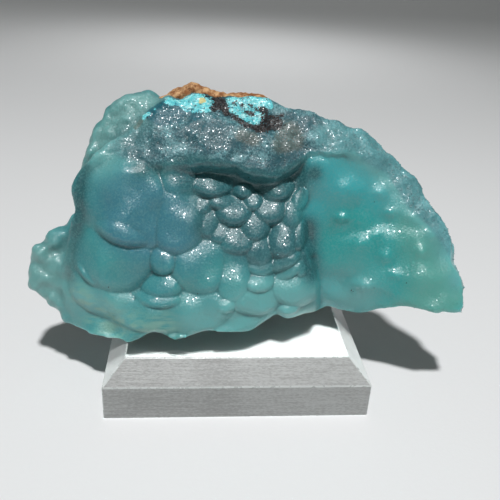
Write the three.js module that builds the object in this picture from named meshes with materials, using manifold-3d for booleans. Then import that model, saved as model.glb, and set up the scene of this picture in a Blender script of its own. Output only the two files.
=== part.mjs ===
// A botryoidal smithsonite specimen standing on a clear bevelled display base.
// Millimetres, +Z up. The origin is the middle of the base's underside, and the specimen faces -Y.
import * as THREE from 'three';
import { ConvexGeometry } from 'three/addons/geometries/ConvexGeometry.js';
import { ImprovedNoise } from 'three/addons/math/ImprovedNoise.js';
import * as BufferGeometryUtils from 'three/addons/utils/BufferGeometryUtils.js';
import Module from 'manifold-3d';

const wasm = await Module();
wasm.setup();

// Display base
const BASE_WIDTH = 64;
const BASE_DEPTH = 40;
const BASE_HEIGHT = 14;
const BASE_BEVEL = 5;

// The stone leans back on the base, and every outline below is drawn on its leaning face:
// x runs to the right, w up the face and d into the stone.
const GAP = 0.3;
const LEAN = THREE.MathUtils.degToRad(22);
const FACE_ORIGIN = new THREE.Vector3(0, -10, 17);
const UNDERSIDE = BASE_HEIGHT + GAP;
const CUTTER_WIDTH = 200;
const CUTTER_HEIGHT = 60;

// How far a depth mark has influence, and how wide the step at the basin's edge is
const REACH = 4.5;
const STEP_WIDTH = 2.2;

// How much deeper than its marks the face lies between the rounded growths
const GROUND = 0.4;

// Mean half-size from which a growth is big enough to need a fine ball
const BIG_GROWTH = 5.8;

// How square a pillow's rounded edge is
const EDGE_POWER = 6;

// Broken outline of the whole stone: x, w and the depth of the edge
const STONE_OUTLINE = [
  [-32.5, 46, 6], [-27.5, 49, 6], [-24.5, 52, 7], [-20, 57.5, 8], [-18, 58.5, 8], [-16, 58, 8],
  [-14.5, 57.5, 8], [-12.5, 59, 8], [-10, 59.5, 8], [-7, 58.5, 8], [0, 58.5, 8], [4.5, 59, 8],
  [7.5, 58.5, 8], [9.5, 57.5, 8], [12.5, 56.5, 8], [19.5, 55, 8], [21.5, 54, 8], [25.5, 53.5, 8],
  [27.5, 52, 8], [30.5, 52, 8], [34.5, 49.5, 8], [36.5, 48, 8], [38, 46, 8], [40, 45, 8],
  [43, 41.5, 8], [46, 39.5, 7], [47, 38, 6.5], [48, 34, 5], [50, 31, 3], [52.5, 28, 2],
  [54, 24.5, 1.5], [55, 18, 1], [57, 13, 0], [57, 11.5, -0.5], [56.5, 9.5, -1],
  [56.5, 7.5, -1.5], [55.5, 5.5, -2], [52, 5, -2.5], [49, 6.5, -2], [45.5, 6.5, -1], [42, 7, 1],
  [40, 6.5, 2], [36.5, 5.5, 5], [32, 4, 7], [28, 4.5, 10], [25, 5.5, 12], [22.5, 4, 12],
  [17.5, 4, 8], [13, 3, 6], [10, 4.5, 5], [8.5, 3.5, 4.5], [6, 2, 3], [3, 0.5, 1],
  [-3.5, 0.5, 0], [-7.5, 1, 0], [-9.5, 0.5, 0], [-12, -0.5, 0], [-15.5, -1.5, 0],
  [-18.5, 0, 0.5], [-21.5, 0.5, 0.5], [-24.5, -1.5, 0.5], [-27, -2.5, 0.5], [-29, -1.5, 1],
  [-31.5, -1.5, 2], [-36, -1, 4], [-40.5, 0.5, 8], [-43.5, 7, 8], [-44, 13.5, 7], [-43, 17, 6.5],
  [-42, 22.5, 6], [-41, 27.5, 5], [-40, 29.5, 5], [-41, 33.5, 5], [-41, 35.5, 5], [-39.5, 39, 5],
  [-36.5, 42, 5], [-35, 44, 5.5],
];
const STONE_CENTRE = [0, 30];

// Lower edge of the thick rim that overhangs the face, how wide its step is along it, and left
// edge of the right-hand basin
const RIM_LIP = [
  [-22, 41], [-18.5, 40], [-11, 40.2], [-5.5, 40.2], [-1, 39.8], [2, 38.4], [5, 37.6], [8, 37.6],
  [11.5, 39], [14, 41], [16.5, 44.4], [23.5, 44.6], [30, 44.3], [35, 41.5], [39, 38], [41.5, 34],
  [47, 28.5], [58, 24],
];
const LIP_WIDTH = [[-24, 5], [-17, 2], [13, 2], [18, 1], [26, 1], [34, 6]];
const BASIN_EDGE = [[3, 22], [13, 20.5], [21, 17.5], [26, 16.5], [32, 16], [41, 16]];

// Depth marks: x, w, d
const LEFT_FACE = [
  [-40, 35, 3.5], [-36, 44, 3], [-30, 45, 2], [-30, 30, 1], [-40, 20, 3.5], [-30, 12, 2.2],
  [-40, 5, 4], [-22, 46, 1.5], [-22, 30, 1], [-22, 20, 1], [-12, 36, 2.2], [-12, 28, 1],
  [-5, 38, 3.2], [-5, 30, 2.4], [-5, 22, 1.1], [5, 38, 3.6], [5, 30, 2.8], [5, 20, 1.7],
  [10, 38, 3.8], [10, 28, 2.6], [12, 18, 1.8], [15.5, 37, 4.2], [14.5, 42, 4], [15.5, 28, 2.4],
  [16, 21, 1.8], [14, 8, 1.5], [0, 8, 0], [-15, 8, 0], [-15, 0, 0.5], [0, 2, 0.5],
];
const RIGHT_BASIN = [
  [20, 41, 2], [20, 34, 4], [20, 28, 5.5], [20, 20, 6.5], [21, 12, 8], [24, 6, 12],
  [28, 39, 2.6], [28, 27, 4.6], [28, 17, 5.5], [30, 8, 7.5], [36, 37, 3.5], [36, 28, 3],
  [36, 18, 2.5], [38, 9, 2.5], [44, 31, 2], [44, 22, 0], [44, 12, -1.5], [51, 24, 1],
  [51, 17, -1.5], [51, 9, -3],
];
const RIM_FACE = [
  [-30, 48, 3.5], [-24, 50, 3.5], [-18, 46, 1], [-12, 46, -0.8], [-12, 41, 0], [-4, 45, -1.2],
  [-4, 41, -0.2], [4, 44, -1], [5, 38, 0.4], [9, 42, 0], [14, 46, 2.5], [20, 47, 0],
  [26, 47, 0.5], [32, 46, 1.5], [37, 42, 2], [42, 37, 1.5], [48, 30, 1], [55, 24, 1],
  [-12, 52, 2.5], [0, 51, 2.5], [11, 51, 3], [21, 52, 4], [-12, 59, 7], [0, 59, 7],
  [10, 57, 6.5], [31, 50, 5], [39, 45, 6], [46, 38, 5],
];
const STONE_BACK = [
  [-40, 12, 14], [-40, 32, 13], [-30, 44, 12], [-22, 5, 26], [-22, 28, 20], [-20, 50, 14],
  [0, 5, 28], [0, 28, 21], [0, 50, 14], [20, 8, 25], [20, 28, 19], [22, 46, 14], [38, 12, 13],
  [40, 28, 11], [50, 12, 6], [50, 24, 6],
];

// Two lobes that stand behind the left edge
const UPPER_LOBE = {
  outline: [
    [-42, 34, 14], [-40, 40.5, 14], [-38, 46, 14], [-37, 50, 14], [-36, 51.5, 14],
    [-34.5, 53, 14], [-34, 55, 14], [-32.5, 56.5, 14], [-30, 58.5, 14], [-27.5, 59.5, 14],
    [-22.5, 60.5, 14], [-20, 59, 13], [-17, 57, 12], [-16, 48, 12], [-24, 36, 12], [-34, 30, 13],
  ],
  centre: [-28, 46],
  front: [[-36, 44, 9.5], [-32, 52, 9], [-24, 56, 9.5], [-24, 44, 7]],
  back: [[-34, 42, 18], [-28, 54, 17], [-20, 48, 17]],
};
const LOWER_LOBE = {
  outline: [
    [-42, 29, 12], [-43.5, 25.5, 12], [-45.5, 25.5, 12], [-47.5, 23.5, 12], [-49.5, 21.5, 12],
    [-52, 19.5, 12], [-52.5, 17, 12], [-52, 15.5, 12], [-52.5, 13.5, 12], [-53, 11, 12],
    [-50.5, 8, 11.5], [-47, 6, 11], [-44.5, 3, 10.5], [-41.5, 0, 10], [-38.5, -2.5, 9],
    [-35, -3.5, 9], [-30, -1, 10], [-30, 14, 12], [-34, 26, 12],
  ],
  centre: [-41, 12],
  front: [[-49, 18, 9.5], [-46, 10, 8.5], [-42, 22, 8], [-42, 4, 7], [-34, 12, 6]],
  back: [[-48, 14, 16], [-40, 20, 18], [-38, 5, 19], [-32, 12, 20]],
};

// Left of this, the lower lobe lies in front
const LOWER_LOBE_EDGE = -43;

// Rounded growths on the face: x, w, half-width, half-height, rise and turn in degrees
const DOMES = [
  [-27.3, 33.4, 8.9, 8.9, 2.2, 130], [-26, 29.3, 9.8, 8.4, 1.1, -8],
  [-28.3, 24.8, 7, 3.2, 1.9, -18], [-14.6, 27, 6, 7.5, 1.9], [-30.5, 17.5, 8.8, 7.5, 1.8],
  [-36.5, 14, 4, 1.5, 1.2, -48], [-18.5, 17.5, 3, 3, 1.1], [-18.5, 11.5, 4.5, 2.5, 1.1],
  [-19, 8.5, 5, 2, 1.1], [-9.5, 16.5, 6.5, 6.5, 1.2], [-1.5, 14.5, 4, 6, 0.7],
  [-3.5, 7, 2.5, 1.5, 0.6, 10], [4.5, 8, 5, 3, 0.6], [-34, 8.5, 7, 4, 0.8, -25],
  [-21.5, 4, 9, 3, 0.5, -4], [-10.5, 5.5, 7, 4.5, 0.6, 8], [-15, 37, 3.5, 3, 0.5, -30],
  [-7, 36, 4.5, 2.5, 1.1], [-4.5, 32, 3, 1.5, 0.6], [-9, 31, 1.5, 1.5, 0.5],
  [1, 35, 2, 1.5, 0.6], [3.5, 32.5, 2.2, 2, 0.7, 20], [-1.5, 29.5, 4, 3, 1.1],
  [-8, 26.5, 2.5, 3, 0.7], [-5, 24.5, 2.5, 2, 0.5], [7.5, 30, 3.5, 3, 1],
  [4, 26, 3.5, 3, 1.1, 25], [9.5, 35.5, 3.5, 2.5, 0.8, 20], [15, 33, 1.5, 2.5, 0.4, -20],
  [11, 23, 3.5, 4.5, 1.3, -20], [-0.5, 22.5, 4, 3, 0.9], [5, 20, 3, 3.5, 0.9],
  [11.5, 18, 3.5, 1.8, 0.9, 32], [13, 15.5, 3, 1.4, 0.7, 32], [15.5, 15.5, 1.3, 1.3, 0.5],
  [5, 12.5, 3.2, 2.2, 1], [14.5, 10.5, 5.5, 4, 1.1], [13, 6, 2.5, 1.5, 0.7, 10],
  [15, 24, 1.8, 3, 0.7, -15], [13, 29, 2, 3, 0.6, -15], [5.5, 16.5, 3, 2, 0.7],
];
// Low mounds in the basin and on the lower lobe, in the same form
const MOUNDS = [
  [26, 29, 2.2, 1.6, 0.7], [31, 23, 3.4, 2.6, 1.3], [34.5, 25, 3, 1.3, 0.6, 30],
  [37, 19.5, 2, 2, 1], [31.5, 12, 3, 2, 1], [29, 9, 8, 5, 0.9], [35.5, 35.5, 2, 1.8, 0.8],
  [38, 30.5, 2, 1.6, 0.7], [45.5, 21, 1.8, 1.8, 0.9], [44, 29.5, 3.4, 2.2, 1.1, -25],
  [48.5, 25.5, 3, 2, 1.1, -40], [39.5, 15, 1.8, 1.4, 0.6], [25, 36, 5, 5, 0.6],
  [-46, 21, 2.2, 1.6, 0.9], [-45.5, 17, 2, 1.6, 0.8], [-49.5, 18, 1.8, 2.2, 0.8],
  [-49, 12.5, 2, 2, 0.8], [-45, 10.5, 2.5, 1.8, 0.8],
];

// Small lumps that show on the lower lobe's outline: x, w, d and radius
const KNOBS = [
  [-46, 22.5, 10.5, 2.4], [-49.5, 18.8, 11, 2.6], [-50.4, 14, 11, 2.4], [-50.6, 11, 11, 2.2],
  [-46, 7.5, 10, 2.4], [-42.5, 3, 9.5, 2.2],
];

// Crust of brown matrix that stands a little above the top edge at the back
const MATRIX = {
  outline: [
    [-22, 55, 12], [-20.5, 58, 12], [-17.5, 60.5, 12], [-14.5, 61.5, 12], [-12, 62.5, 12.5],
    [-8.5, 61.5, 12.5], [-6, 60.5, 12.5], [-3, 60, 12.5], [3, 60.5, 12.5], [7, 60, 13],
    [9, 57, 13.5], [9, 54, 14], [7, 46, 16], [-1, 40, 17.5], [-11, 41, 17.5], [-19, 47, 15],
  ],
  centre: [-7, 52],
  front: [[-7, 52, 9]],
  back: [[-17, 56, 16.5], [-8, 56, 18], [3, 55, 17], [-7, 47, 19.5]],
};

const noise = new ImprovedNoise();

function smoothStep(t) {
  const u = THREE.MathUtils.clamp(t, 0, 1);
  return u * u * (3 - 2 * u);
}

// Height of a line of points at one place along it
function lineAt(points, along) {
  const next = points.findIndex((point) => point[0] > along);
  if (next === 0) return points[0][1];
  if (next < 0) return points.at(-1)[1];
  const [a, b] = [points[next - 1], points[next]];
  return THREE.MathUtils.mapLinear(along, a[0], b[0], a[1], b[1]);
}

// Depth at one place, as a mean of the marks weighted by nearness
function depthFrom(marks, x, w) {
  let total = 0;
  let weight = 0;
  for (const [markX, markW, depth] of marks) {
    const distance = Math.hypot(x - markX, w - markW) / REACH;
    const share = Math.exp(-0.5 * distance ** 2) + 1e-6;
    total += share * depth;
    weight += share;
  }
  return total / weight;
}

// Front of the whole stone: the basin steps back from the face, and the rim stands over both
function stoneFront(x, w) {
  const basin = smoothStep((x - lineAt(BASIN_EDGE, w)) / STEP_WIDTH + 0.5);
  const rim = smoothStep((w - lineAt(RIM_LIP, x)) / lineAt(LIP_WIDTH, x) + 0.5);
  const face = THREE.MathUtils.lerp(depthFrom(LEFT_FACE, x, w), depthFrom(RIGHT_BASIN, x, w), basin);
  return THREE.MathUtils.lerp(face + GROUND, depthFrom(RIM_FACE, x, w), rim);
}

// What lies in front at one place: the lower lobe left of its edge, and the stone elsewhere
function frontAt(x, w) {
  return x < LOWER_LOBE_EDGE ? depthFrom(LOWER_LOBE.front, x, w) : stoneFront(x, w);
}

// Radius and edge depth of an outline in one direction from its centre
function edgeToward(outline, centre, angle) {
  const polar = outline.map(([x, w, depth]) => ({
    angle: Math.atan2(w - centre[1], x - centre[0]),
    radius: Math.hypot(x - centre[0], w - centre[1]),
    depth,
  }));
  polar.sort((a, b) => a.angle - b.angle);
  const turn = 2 * Math.PI;
  const first = { ...polar[0], angle: polar[0].angle + turn };
  const last = { ...polar.at(-1), angle: polar.at(-1).angle - turn };
  const ring = [last, ...polar, first];
  const radius = lineAt(ring.map((point) => [point.angle, point.radius]), angle);
  const depth = lineAt(ring.map((point) => [point.angle, point.depth]), angle);
  return { radius, depth };
}

function asGeometry(positions, index) {
  const geometry = new THREE.BufferGeometry();
  geometry.setAttribute('position', new THREE.BufferAttribute(positions, 3));
  geometry.setIndex(new THREE.BufferAttribute(index, 1));
  return geometry;
}

function toSolid(geometry) {
  const bare = geometry.clone();
  bare.deleteAttribute('normal');
  bare.deleteAttribute('uv');
  const merged = BufferGeometryUtils.mergeVertices(bare, 1e-4);
  return new wasm.Manifold(new wasm.Mesh({
    numProp: 3,
    vertProperties: new Float32Array(merged.getAttribute('position').array),
    triVerts: new Uint32Array(merged.getIndex().array),
  }));
}

function toGeometry(solid) {
  const mesh = solid.getMesh();
  const geometry = asGeometry(new Float32Array(mesh.vertProperties), new Uint32Array(mesh.triVerts));
  geometry.computeVertexNormals();
  return geometry;
}

// A ball pressed into an outline: its front and back follow the given depths, and its edge is round
function pillow({ outline, centre, front, back, detail, roughness, lumpSize = 6 }) {
  const ball = new THREE.IcosahedronGeometry(1, detail);
  const position = ball.getAttribute('position');
  for (let i = 0; i < position.count; i += 1) {
    const [across, depthward, up] = [position.getX(i), position.getY(i), position.getZ(i)];
    const spread = Math.hypot(across, up);
    const edge = edgeToward(outline, centre, Math.atan2(up, across));
    const x = centre[0] + across * edge.radius;
    const w = centre[1] + up * edge.radius;
    const target = depthward < 0 ? front(x, w) : back(x, w);
    const fullness = Math.sqrt(1 - Math.min(1, spread ** EDGE_POWER));
    const lump = roughness * noise.noise(x / lumpSize, w / lumpSize, depthward * 2);
    position.setXYZ(i, x, THREE.MathUtils.lerp(edge.depth, target, fullness) + lump, w);
  }
  return toSolid(ball);
}

// A rounded growth that has its half-sizes where it meets the face and stands out by its rise
function growth([x, w, halfWidth, halfHeight, rise, turn = 0], face) {
  const detail = (halfWidth + halfHeight) / 2 > BIG_GROWTH ? 3 : 1;
  const ball = new THREE.IcosahedronGeometry(1, detail);
  const widen = 2 / Math.sqrt(3);
  ball.scale(halfWidth * widen, 2 * rise, halfHeight * widen);
  ball.rotateY(-THREE.MathUtils.degToRad(turn));
  ball.translate(x, face + rise, w);
  return toSolid(ball);
}

function knob([x, w, depth, radius]) {
  const ball = new THREE.IcosahedronGeometry(radius, 1);
  ball.translate(x, depth, w);
  return toSolid(ball);
}

// Everything below the level where the stone rests, turned into the leaning frame
function spaceBelow(level) {
  const box = new THREE.BoxGeometry(CUTTER_WIDTH, CUTTER_WIDTH, CUTTER_HEIGHT);
  box.translate(0, 0, level - CUTTER_HEIGHT / 2);
  box.translate(-FACE_ORIGIN.x, -FACE_ORIGIN.y, -FACE_ORIGIN.z);
  box.rotateX(LEAN);
  return toSolid(box);
}

function smithsoniteSolid() {
  const body = pillow({
    outline: STONE_OUTLINE,
    centre: STONE_CENTRE,
    front: stoneFront,
    back: (x, w) => depthFrom(STONE_BACK, x, w),
    detail: 8,
    roughness: 1.2,
  });
  const lobes = [UPPER_LOBE, LOWER_LOBE].map((lobe) => pillow({
    outline: lobe.outline,
    centre: lobe.centre,
    front: (x, w) => depthFrom(lobe.front, x, w),
    back: (x, w) => depthFrom(lobe.back, x, w),
    detail: 3,
    roughness: 1.5,
  }));
  const domes = DOMES.map((dome) => growth(dome, frontAt(dome[0], dome[1]) - GROUND));
  const mounds = MOUNDS.map((mound) => growth(mound, frontAt(mound[0], mound[1])));
  const pieces = [...lobes, ...KNOBS.map(knob), ...domes, ...mounds];
  const grown = pieces.reduce((whole, piece) => whole.add(piece), body);
  return grown.subtract(spaceBelow(UNDERSIDE));
}

// The matrix lies on the back of the stone, clear of it by the gap
function matrixSolid(stone) {
  const crust = pillow({
    outline: MATRIX.outline,
    centre: MATRIX.centre,
    front: (x, w) => depthFrom(MATRIX.front, x, w),
    back: (x, w) => depthFrom(MATRIX.back, x, w),
    detail: 4,
    roughness: 3,
    lumpSize: 3.5,
  });
  const clearances = [[0, 0, 0], [0, GAP, 0], [GAP, GAP, 0], [0, GAP, GAP]];
  return clearances.reduce((rest, shift) => rest.subtract(stone.translate(shift)), crust);
}

function smithsonite(stone) {
  const material = new THREE.MeshStandardMaterial({ color: 0x4f9698, roughness: 0.35, metalness: 0 });
  const mesh = new THREE.Mesh(toGeometry(stone), material);
  mesh.name = 'smithsonite';
  return mesh;
}

function limoniteMatrix(stone) {
  const material = new THREE.MeshStandardMaterial({ color: 0xab8863, roughness: 0.9, metalness: 0 });
  const mesh = new THREE.Mesh(toGeometry(matrixSolid(stone)), material);
  mesh.name = 'limonite_matrix';
  return mesh;
}

function displayBase() {
  const halfWidth = BASE_WIDTH / 2;
  const halfDepth = BASE_DEPTH / 2;
  const layers = [[0, 0], [BASE_HEIGHT - BASE_BEVEL, 0], [BASE_HEIGHT, BASE_BEVEL]];
  const corners = [[-1, -1], [1, -1], [1, 1], [-1, 1]];
  const points = layers.flatMap(([z, inset]) => corners.map(([sideX, sideY]) => new THREE.Vector3(
    sideX * (halfWidth - inset),
    sideY * (halfDepth - inset),
    z,
  )));
  const material = new THREE.MeshStandardMaterial({ color: 0xdfe5e3, roughness: 0.2, metalness: 0 });
  const mesh = new THREE.Mesh(new ConvexGeometry(points), material);
  mesh.name = 'display_base';
  return mesh;
}

const specimen = new THREE.Group();
const leaning = new THREE.Group();
const stone = smithsoniteSolid();
leaning.position.copy(FACE_ORIGIN);
leaning.rotation.x = -LEAN;
leaning.add(smithsonite(stone), limoniteMatrix(stone));
specimen.add(leaning, displayBase());

export default specimen;
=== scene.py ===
"""Looks of a botryoidal smithsonite specimen that stands on a clear bevelled display base.

Outlines, depths and places are in millimetres on the stone's leaning face, or in the part's
own frame, and are turned into metres when a mesh is put in its place.
"""

from __future__ import annotations

import logging
import math
from collections.abc import Callable
from dataclasses import dataclass, field
from enum import Enum

import bmesh
import bpy
import numpy as np
from mathutils import Matrix, Quaternion, Vector, noise


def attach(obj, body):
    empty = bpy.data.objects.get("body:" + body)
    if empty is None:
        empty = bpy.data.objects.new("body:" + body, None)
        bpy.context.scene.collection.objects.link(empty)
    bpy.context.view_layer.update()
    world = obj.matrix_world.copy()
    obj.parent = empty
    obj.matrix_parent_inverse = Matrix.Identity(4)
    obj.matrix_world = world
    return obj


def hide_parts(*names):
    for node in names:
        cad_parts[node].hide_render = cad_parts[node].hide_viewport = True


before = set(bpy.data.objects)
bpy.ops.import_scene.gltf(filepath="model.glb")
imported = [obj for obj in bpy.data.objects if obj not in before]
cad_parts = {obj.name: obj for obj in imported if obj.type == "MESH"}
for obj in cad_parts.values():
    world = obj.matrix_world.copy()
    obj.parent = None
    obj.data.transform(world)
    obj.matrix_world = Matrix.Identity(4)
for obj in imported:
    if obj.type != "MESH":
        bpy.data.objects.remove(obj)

MM = 0.001
LOG = logging.getLogger("smithsonite_specimen")

# Beyond this share of its half-sizes a dome no longer shapes the face
DOME_REACH = 1.4
NO_GROWTH = -9.0
SWELL_FALL = 1.5
# Millimetres that rule a vertex on the back out of a search
FAR_AWAY = 99.0

Depth = Callable[[np.ndarray, np.ndarray], np.ndarray]
Colour = tuple[float, float, float, float]


def smooth_step(value: np.ndarray) -> np.ndarray:
    """Eases a value from 0 to 1.

    Args:
        value: Numbers that are clipped to the range 0 to 1 first.

    Returns:
        The eased numbers.
    """
    clipped = np.clip(value, 0.0, 1.0)
    return clipped * clipped * (3.0 - 2.0 * clipped)


def mixed(low: np.ndarray, high: np.ndarray, share: np.ndarray) -> np.ndarray:
    """Blends two arrays; a share of 0 is all low and 1 is all high."""
    return low + (high - low) * share


def linear(red: int, green: int, blue: int) -> Colour:
    """Turns an sRGB colour of 0 to 255 into the linear colour that a shader takes."""
    def channel(value: int) -> float:
        """Removes the display curve from one channel."""
        part = value / 255.0
        return part / 12.92 if part <= 0.04045 else ((part + 0.055) / 1.055) ** 2.4
    return (channel(red), channel(green), channel(blue), 1.0)


class Zone(Enum):
    """Named fields on the stone that its finish reads as attributes."""

    BASIN = "basin"
    RIM = "rim"
    BLUE = "blue"
    # Partly the cluster's own slate tone, partly painted shade in the recess under the rim
    SLATE_AND_SHADE = "slate"
    GREEN = "green"
    PALE = "pale"
    MILKY = "milky"
    GLOW = "glow"
    FIBROUS = "fibrous"
    SHADE = "shade"
    DEEP = "deep"
    STAIN = "stain"
    CRUST = "crust"
    OCHRE = "ochre"
    OXIDE = "oxide"
    # Painted shade: darker colour in the creases between growths
    CREASE_SHADE = "hollow"


@dataclass(frozen=True)
class LeaningFace:
    """The plane on which the stone is drawn: x across, d into the stone and w up the face."""

    lean: float = math.radians(22.0)
    origin: tuple[float, float, float] = (0.0, -10.0, 17.0)

    def matrix(self) -> Matrix:
        """Gives the matrix from face millimetres (x, d, w) to metres in the part's frame."""
        place = Matrix.Translation(Vector(self.origin) * MM)
        return place @ Matrix.Rotation(-self.lean, 4, "X") @ Matrix.Scale(MM, 4)


@dataclass(frozen=True)
class DepthMarks:
    """Depths marked at places on the face, blended between by nearness."""

    marks: tuple[tuple[float, float, float], ...]
    reach: float = 4.5

    def __call__(self, x: np.ndarray, w: np.ndarray) -> np.ndarray:
        """Works out depths.

        Args:
            x: Places across the face.
            w: Places up the face.

        Returns:
            The depth at each place.
        """
        table = np.array(self.marks)
        distance = np.hypot(x[:, None] - table[:, 0], w[:, None] - table[:, 1]) / self.reach
        share = np.exp(-0.5 * distance**2) + 1e-6
        return (share @ table[:, 2]) / share.sum(axis=1)


@dataclass(frozen=True)
class Line:
    """A line of points that gives one coordinate from the other."""

    points: tuple[tuple[float, float], ...]

    def at(self, along: np.ndarray) -> np.ndarray:
        """Reads the line at places along it."""
        table = np.array(self.points)
        return np.interp(along, table[:, 0], table[:, 1])


@dataclass(frozen=True)
class SteppedFace:
    """Front of the whole stone: the basin steps back, and the rim stands over both."""

    left: DepthMarks
    basin: DepthMarks
    rim: DepthMarks
    basin_edge: Line
    rim_lip: Line
    lip_width: Line
    step_width: float = 2.2
    lip_wave: float = 0.2

    def basin_share(self, x: np.ndarray, w: np.ndarray) -> np.ndarray:
        """Tells how far each place lies in the right-hand basin, from 0 to 1."""
        return smooth_step((x - self.basin_edge.at(w)) / self.step_width + 0.5)

    def rim_share(self, x: np.ndarray, w: np.ndarray) -> np.ndarray:
        """Tells how far each place lies on the rim above the wavy lip, from 0 to 1."""
        wave = self.lip_wave * (np.sin(0.9 * x) + 0.6 * np.sin(2.1 * x + 1.0))
        return smooth_step((w + wave - self.rim_lip.at(x)) / self.lip_width.at(x) + 0.5)

    def __call__(self, x: np.ndarray, w: np.ndarray) -> np.ndarray:
        """Gives the depth of the front at each place."""
        face = mixed(self.left(x, w), self.basin(x, w), self.basin_share(x, w))
        return mixed(face, self.rim(x, w), self.rim_share(x, w))


@dataclass(frozen=True)
class Pillow:
    """A ball pressed into a broken outline, with a front, a back and a rounded edge."""

    outline: tuple[tuple[float, float, float], ...]
    centre: tuple[float, float]
    front: Depth
    back: Depth
    subdivisions: int
    roughness: float
    lump_size: float = 6.0
    flatness: float = 6.0

    def add_to(self, bm: bmesh.types.BMesh) -> None:
        """Adds the pillow's closed shell to a mesh in face millimetres.

        Args:
            bm: The mesh that takes the new shell.
        """
        ball = bmesh.ops.create_icosphere(bm, subdivisions=self.subdivisions, radius=1.0)
        across, depthward, up = np.array([vert.co for vert in ball["verts"]]).T
        ring = np.array(self.outline)
        offset = ring[:, :2] - np.array(self.centre)
        ring_angle = np.arctan2(offset[:, 1], offset[:, 0])
        angle = np.arctan2(up, across)
        radius = np.interp(angle, ring_angle, np.hypot(*offset.T), period=math.tau)
        edge_depth = np.interp(angle, ring_angle, ring[:, 2], period=math.tau)
        x = self.centre[0] + across * radius
        w = self.centre[1] + up * radius
        target = np.where(depthward < 0.0, self.front(x, w), self.back(x, w))
        fullness = np.sqrt(1.0 - np.minimum(1.0, np.hypot(across, up) ** self.flatness))
        depth = mixed(edge_depth, target, fullness)
        for vert, place in zip(ball["verts"], zip(x, depth, w)):
            spot = Vector((place[0] / self.lump_size, place[2] / self.lump_size, vert.co.y * 2.0))
            vert.co = place
            vert.co.y += self.roughness * noise.noise(spot)


@dataclass(frozen=True)
class Knob:
    """A small round lump that shows on an outline: its place, depth and radius."""

    x: float
    w: float
    depth: float
    radius: float

    def add_to(self, bm: bmesh.types.BMesh) -> None:
        """Adds the knob's closed shell to a mesh in face millimetres."""
        place = Matrix.Translation((self.x, self.depth, self.w))
        bmesh.ops.create_icosphere(bm, subdivisions=3, radius=self.radius, matrix=place)


@dataclass(frozen=True)
class Dome:
    """A rounded growth: its place, half-sizes, rise over the face and turn in degrees."""

    x: float
    w: float
    half_width: float
    half_height: float
    rise: float
    turn: float = 0.0
    overhang: float = 0.35
    fullness: float = 2.9
    soft_top: float = 0.27

    def within(self, x: np.ndarray, w: np.ndarray) -> tuple[np.ndarray, np.ndarray]:
        """Gives places across and up the growth, as shares of its half-sizes."""
        turn = math.radians(self.turn)
        across = (x - self.x) * math.cos(turn) + (w - self.w) * math.sin(turn)
        up = (w - self.w) * math.cos(turn) - (x - self.x) * math.sin(turn)
        return across / self.half_width, up / self.half_height

    def height(self, x: np.ndarray, w: np.ndarray) -> np.ndarray:
        """Gives the dome's height over the face, which is 0 at its foot and negative beyond.

        Args:
            x: Places across the face.
            w: Places up the face.

        Returns:
            The height at each place; the upper side slopes softly and the lower edge is crisp.
        """
        across, up = self.within(x, w)
        reach = np.hypot(across, up)
        toward_top = up / np.maximum(reach, 1e-6)
        power = self.fullness * (1.0 - self.soft_top * toward_top)
        proud = 1.0 - self.overhang * np.clip(up, -1.0, 1.0)
        return np.where(reach < DOME_REACH, self.rise * (1.0 - reach**power) * proud, NO_GROWTH)


@dataclass(frozen=True)
class Swell(Dome):
    """A low soft mound with no foot of its own."""

    def height(self, x: np.ndarray, w: np.ndarray) -> np.ndarray:
        """Gives the mound's height over the face."""
        across, up = self.within(x, w)
        return self.rise * np.exp(-SWELL_FALL * (across**2 + up**2))


@dataclass(frozen=True)
class Relief:
    """Domes grown together, with a soft crease where two of them meet, and soft mounds."""

    domes: tuple[Dome, ...]
    swells: tuple[Swell, ...]
    crease: float = 0.08
    ground: float = -0.8

    def height(self, x: np.ndarray, w: np.ndarray) -> np.ndarray:
        """Gives the height of the highest growth at each place, or of the ground between."""
        ground = np.full_like(x, self.ground)
        heights = np.stack([ground, *(dome.height(x, w) for dome in self.domes)])
        grown = self.crease * np.logaddexp.reduce(heights / self.crease, axis=0)
        return grown + sum(swell.height(x, w) for swell in self.swells)


STONE_OUTLINE = (
    (-32.5, 46, 6), (-27.5, 49, 6), (-24.5, 52, 7), (-20, 57.5, 8), (-18, 58.5, 8), (-16, 58, 8),
    (-14.5, 57.5, 8), (-12.5, 59, 8), (-10, 59.5, 8), (-7, 58.5, 8), (0, 58.5, 8), (4.5, 59, 8),
    (7.5, 58.5, 8), (9.5, 57.5, 8), (12.5, 56.5, 8), (19.5, 55, 8), (21.5, 54, 8), (25.5, 53.5, 8),
    (27.5, 52, 8), (30.5, 52, 8), (34.5, 49.5, 8), (36.5, 48, 8), (38, 46, 8), (40, 45, 8),
    (43, 41.5, 8), (46, 39.5, 7), (47, 38, 6.5), (48, 34, 5), (50, 31, 3), (52.5, 28, 2),
    (54, 24.5, 1.5), (55, 18, 1), (57, 13, 0), (57, 11.5, -0.5), (56.5, 9.5, -1),
    (56.5, 7.5, -1.5), (55.5, 5.5, -2), (52, 5, -2.5), (49, 6.5, -2), (45.5, 6.5, -1), (42, 7, 1),
    (40, 6.5, 2), (36.5, 5.5, 5), (32, 4, 7), (28, 4.5, 10), (25, 5.5, 12), (22.5, 4, 12),
    (17.5, 4, 8), (13, 3, 6), (10, 4.5, 5), (8.5, 3.5, 4.5), (6, 2, 3), (3, 0.5, 1),
    (-3.5, 0.5, 0), (-7.5, 1, 0), (-9.5, 0.5, 0), (-12, -0.5, 0), (-15.5, -1.5, 0),
    (-18.5, 0, 0.5), (-21.5, 0.5, 0.5), (-24.5, -1.5, 0.5), (-27, -2.5, 0.5), (-29, -1.5, 1),
    (-31.5, -1.5, 2), (-36, -1, 4), (-40.5, 0.5, 8), (-43.5, 7, 8), (-44, 13.5, 7), (-43, 17, 6.5),
    (-42, 22.5, 6), (-41, 27.5, 5), (-40, 29.5, 5), (-41, 33.5, 5), (-41, 35.5, 5),
    (-39.5, 39, 5), (-36.5, 42, 5), (-35, 44, 5.5),
)

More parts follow.
